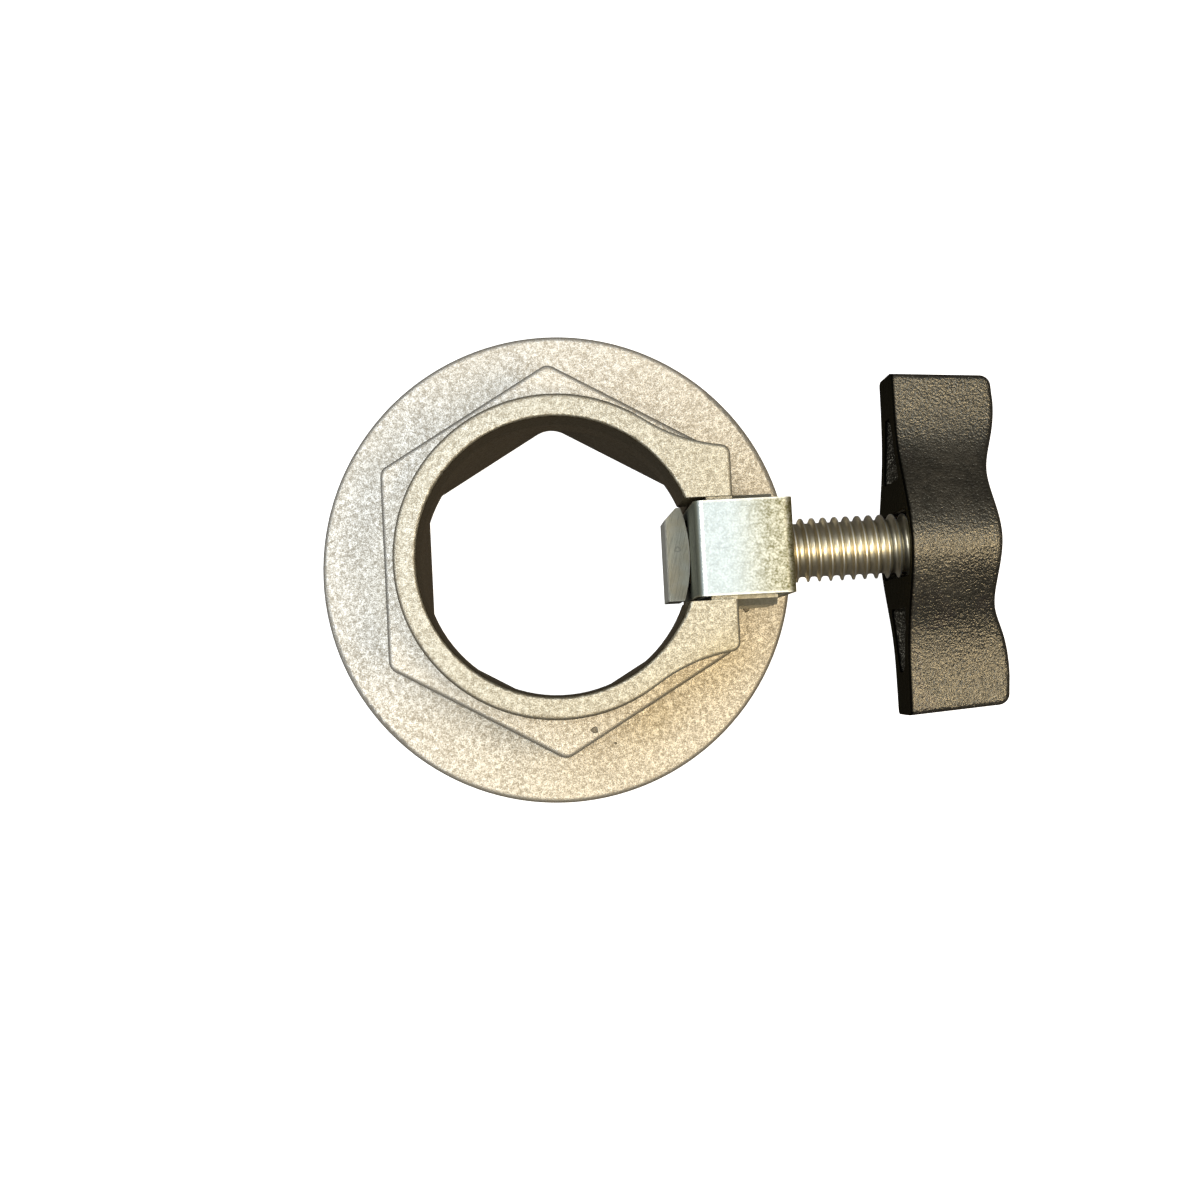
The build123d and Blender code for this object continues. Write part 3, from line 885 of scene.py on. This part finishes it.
# ---------------------------------------------------------------- operators
class CLAMPCOLLAR_OT_effects(bpy.types.Operator):
    """Build the surface effects that the finishes share"""

    bl_idname = "clamp_collar.build_effects"
    bl_label = "Build Surface Effects"

    def execute(self, context):
        build_grain_group()
        build_patch_group()
        build_spot_group()
        build_rub_group()
        build_inside_group()
        build_scratch_group()
        build_edge_group()
        return {"FINISHED"}


class CLAMPCOLLAR_OT_casting(bpy.types.Operator):
    """Blast the collar casting"""

    bl_idname = "clamp_collar.finish_casting"
    bl_label = "Finish Casting"

    def execute(self, context):
        ring_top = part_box("collar")[1][2]
        coat(NODES["collar"], blasted_casting(context.scene.collar_casting, ring_top))
        return {"FINISHED"}


class CLAMPCOLLAR_OT_plate(bpy.types.Operator):
    """Plate the strap and the nut, and shear the shoe"""

    bl_idname = "clamp_collar.finish_plate"
    bl_label = "Finish Strap, Nut and Shoe"

    def execute(self, context):
        settings = context.scene.collar_plate
        coat(NODES["strap"], zinc_plate(settings, *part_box("strap")))
        coat(NODES["square_nut"], dull_plate(settings, *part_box("square_nut")))
        coat(NODES["clamp_shoe"], sheared_plate(settings, *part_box("clamp_shoe")))
        return {"FINISHED"}


PILOT_BEVEL = 0.2 * MM
PILOT_OVERLAP = 0.5 * MM
HEAD_OVERLAP = 0.2 * MM
ROUND_COLUMNS = 48


class CLAMPCOLLAR_OT_screw(bpy.types.Operator):
    """Cut the clamp screw with its thread, pilot and moulded-in head"""

    bl_idname = "clamp_collar.cut_screw"
    bl_label = "Cut Clamp Screw"

    def execute(self, context):
        settings = context.scene.collar_screw
        low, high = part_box("clamp_screw")
        centre_z = 0.5 * (low[2] + high[2])
        tip = low[0]
        face = tip + settings.pilot_length
        head = high[0] - settings.head_thickness
        radius = settings.pilot_radius
        inside = face + PILOT_OVERLAP
        rod, rod_quads = threaded_rod(face, head + HEAD_OVERLAP, centre_z, settings)
        pilot, pilot_quads = turned_piece(
            [(tip, 0), (tip, radius - PILOT_BEVEL), (tip + PILOT_BEVEL, radius),
             (inside, radius), (inside, 0)],
            centre_z, ROUND_COLUMNS, first=len(rod),
        )
        flat = 0.5 * (high[1] - low[1])
        hexagon, hexagon_quads = turned_piece(
            [(head, 0), (head, flat), (high[0], flat), (high[0], 0)],
            centre_z, ROUND_COLUMNS, flats=6, first=len(rod) + len(pilot),
        )
        points = np.concatenate([rod, pilot, hexagon])
        quads = np.concatenate([rod_quads, pilot_quads, hexagon_quads])
        screw = mesh_from_quads("threaded_screw", points, quads)
        coat(screw, rolled_steel(settings))
        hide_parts("clamp_screw")
        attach(screw, "screw_body")
        return {"FINISHED"}


class CLAMPCOLLAR_OT_knob(bpy.types.Operator):
    """Give the wing knob its textured skin"""

    bl_idname = "clamp_collar.finish_knob"
    bl_label = "Finish Knob"

    def execute(self, context):
        coat(NODES["wing_knob"], spark_textured_plastic(context.scene.collar_knob, *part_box("wing_knob")))
        return {"FINISHED"}


FLOOR_HEIGHT = -0.05 * MM
SOFTBOXES = (
    # name, place, target, side, watts and colour
    ("overhead", (-0.12, 0.04, 0.33), (-0.01, 0, 0), 0.26, 0.66, (0.97, 0.99, 1.0)),
    ("warm_side", (0.12, -0.05, 0.30), (0.02, 0, 0), 0.12, 0.47, (1.0, 0.80, 0.52)),
)
# Room light: the heights between which it grows, as parts of a unit direction, and its strengths and tints.
ROOM_HEIGHTS = (0.50, 0.92)
ROOM_STRENGTHS = (0.09, 0.62)
TINT_HEIGHTS = (0.0, 0.8)
LOW_TINT = (1.0, 0.94, 0.85)
HIGH_TINT = (0.95, 0.98, 1.0)
WHITE = (1.0, 1.0, 1.0)
FLOOR_GREY = (0.82, 0.82, 0.82)
FLOOR_ROUGHNESS = (0.85, 0.95)
SENSOR_WIDTH = 36
NEAREST_SEEN = 0.005
FURTHEST_SEEN = 20


def add_floor(size):
    """Square floor just under the flange's back that reads as white.

    It throws no light back on the part, and is clear from below.
    """
    half = size / 2
    corners = [(x, y, FLOOR_HEIGHT) for x, y in ((-half, -half), (half, -half), (half, half), (-half, half))]
    mesh = bpy.data.meshes.new("floor")
    mesh.from_pydata(corners, [], [(0, 1, 2, 3)])
    floor = bpy.data.objects.new("floor", mesh)
    bpy.context.scene.collection.objects.link(floor)
    material, graph, shader, where = new_material("pale_floor")
    cloud = graph.noise(where, scale=3.0)
    rough = graph.ramp(cloud, 0.3, 0.7, *FLOOR_ROUGHNESS)
    graph.tree.links.new(rough, shader.inputs["Roughness"])
    shader.inputs["Base Color"].default_value = rgba(FLOOR_GREY)
    shader.inputs["Emission Color"].default_value = rgba(WHITE)
    shader.inputs["Emission Strength"].default_value = 1.0
    behind = graph.add("ShaderNodeNewGeometry").outputs["Backfacing"]
    clear = graph.add("ShaderNodeBsdfTransparent").outputs["BSDF"]
    sided = graph.add("ShaderNodeMixShader", {0: behind, 1: shader.outputs["BSDF"], 2: clear})
    graph.tree.links.new(sided.outputs["Shader"], graph.tree.nodes["Material Output"].inputs["Surface"])
    coat(floor, material)
    floor.visible_diffuse = False
    floor.visible_glossy = False


def add_softbox(name, place, target, size, power, colour):
    """Square area light at a place, facing the target."""
    light = bpy.data.lights.new(name, "AREA")
    light.shape = "SQUARE"
    light.size = size
    light.energy = power
    light.color = colour
    lamp = bpy.data.objects.new(name, light)
    bpy.context.scene.collection.objects.link(lamp)
    facing = Vector(target) - Vector(place)
    lamp.rotation_mode = "QUATERNION"
    lamp.rotation_quaternion = facing.to_track_quat("-Z", "Y")
    lamp.location = place


def light_world():
    """Room light: bright from overhead, dim at the horizon and below. The backdrop itself shows white."""
    world = bpy.data.worlds.new("studio")
    world.use_nodes = True
    bpy.context.scene.world = world
    graph = Graph(world.node_tree)
    back = world.node_tree.nodes["Background"]
    height = graph.axis(graph.add("ShaderNodeTexCoord").outputs["Generated"], 2)
    strength = graph.ramp(height, *ROOM_HEIGHTS, *ROOM_STRENGTHS)
    tint = graph.cover(rgba(LOW_TINT), HIGH_TINT, graph.ramp(height, *TINT_HEIGHTS))
    seen = graph.add("ShaderNodeLightPath").outputs["Is Camera Ray"]
    graph.tree.links.new(graph.math("MAXIMUM", strength, seen), back.inputs["Strength"])
    graph.tree.links.new(graph.cover(tint, WHITE, seen), back.inputs["Color"])


def place_camera(settings, ring_top):
    """Camera above the ring, looking down with a slight lean, turned about the bore by the roll."""
    roll = settings.roll
    right = Vector((math.cos(roll), -math.sin(roll), 0))
    up = Vector((math.sin(roll), math.cos(roll), 0))
    ahead = (Vector((0, 0, -1)) + right * settings.aim[0] + up * settings.aim[1]).normalized()
    side = ahead.cross(up).normalized()
    top = side.cross(ahead)
    data = bpy.data.cameras.new("camera")
    data.sensor_width = SENSOR_WIDTH
    data.lens = settings.lens
    data.clip_start = NEAREST_SEEN
    data.clip_end = FURTHEST_SEEN
    camera = bpy.data.objects.new("camera", data)
    bpy.context.scene.collection.objects.link(camera)
    turn = Matrix((side, top, -ahead)).transposed()
    place = Vector((0, 0, ring_top)) + Vector(settings.camera_offset)
    camera.matrix_world = Matrix.Translation(place) @ turn.to_4x4()
    bpy.context.scene.camera = camera


class CLAMPCOLLAR_OT_stage(bpy.types.Operator):
    """Set the floor, the lights and the camera"""

    bl_idname = "clamp_collar.set_stage"
    bl_label = "Set Stage"

    def execute(self, context):
        settings = context.scene.collar_stage
        add_floor(settings.floor_size)
        light_world()
        for softbox in SOFTBOXES:
            add_softbox(*softbox)
        place_camera(settings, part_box("collar")[1][2])
        context.scene.view_settings.view_transform = "Standard"
        return {"FINISHED"}


class CLAMPCOLLAR_PT_panel(bpy.types.Panel):
    """Lists the steps that finish the clamp collar"""

    bl_label = "Clamp Collar"
    bl_idname = "CLAMPCOLLAR_PT_panel"
    bl_space_type = "VIEW_3D"
    bl_region_type = "UI"
    bl_category = "Clamp Collar"

    def draw(self, context):
        for operator in OPERATORS:
            self.layout.operator(operator.bl_idname)
        for group in SETTINGS:
            for key in group.__annotations__:
                self.layout.prop(getattr(context.scene, SETTINGS[group]), key)


SETTINGS = {
    CastingSettings: "collar_casting",
    PlateSettings: "collar_plate",
    ScrewSettings: "collar_screw",
    KnobSettings: "collar_knob",
    StageSettings: "collar_stage",
}
OPERATORS = (
    CLAMPCOLLAR_OT_effects,
    CLAMPCOLLAR_OT_casting,
    CLAMPCOLLAR_OT_plate,
    CLAMPCOLLAR_OT_screw,
    CLAMPCOLLAR_OT_knob,
    CLAMPCOLLAR_OT_stage,
)


def register():
    for group, name in SETTINGS.items():
        bpy.utils.register_class(group)
        setattr(bpy.types.Scene, name, PointerProperty(type=group))
    for operator in OPERATORS:
        bpy.utils.register_class(operator)
    bpy.utils.register_class(CLAMPCOLLAR_PT_panel)


def unregister():
    bpy.utils.unregister_class(CLAMPCOLLAR_PT_panel)
    for operator in reversed(OPERATORS):
        bpy.utils.unregister_class(operator)
    for group, name in SETTINGS.items():
        delattr(bpy.types.Scene, name)
        bpy.utils.unregister_class(group)


def main():
    register()
    bpy.ops.clamp_collar.build_effects()
    bpy.ops.clamp_collar.finish_casting()
    bpy.ops.clamp_collar.finish_plate()
    bpy.ops.clamp_collar.cut_screw()
    bpy.ops.clamp_collar.finish_knob()
    bpy.ops.clamp_collar.set_stage()


if __name__ == "__main__":
    main()
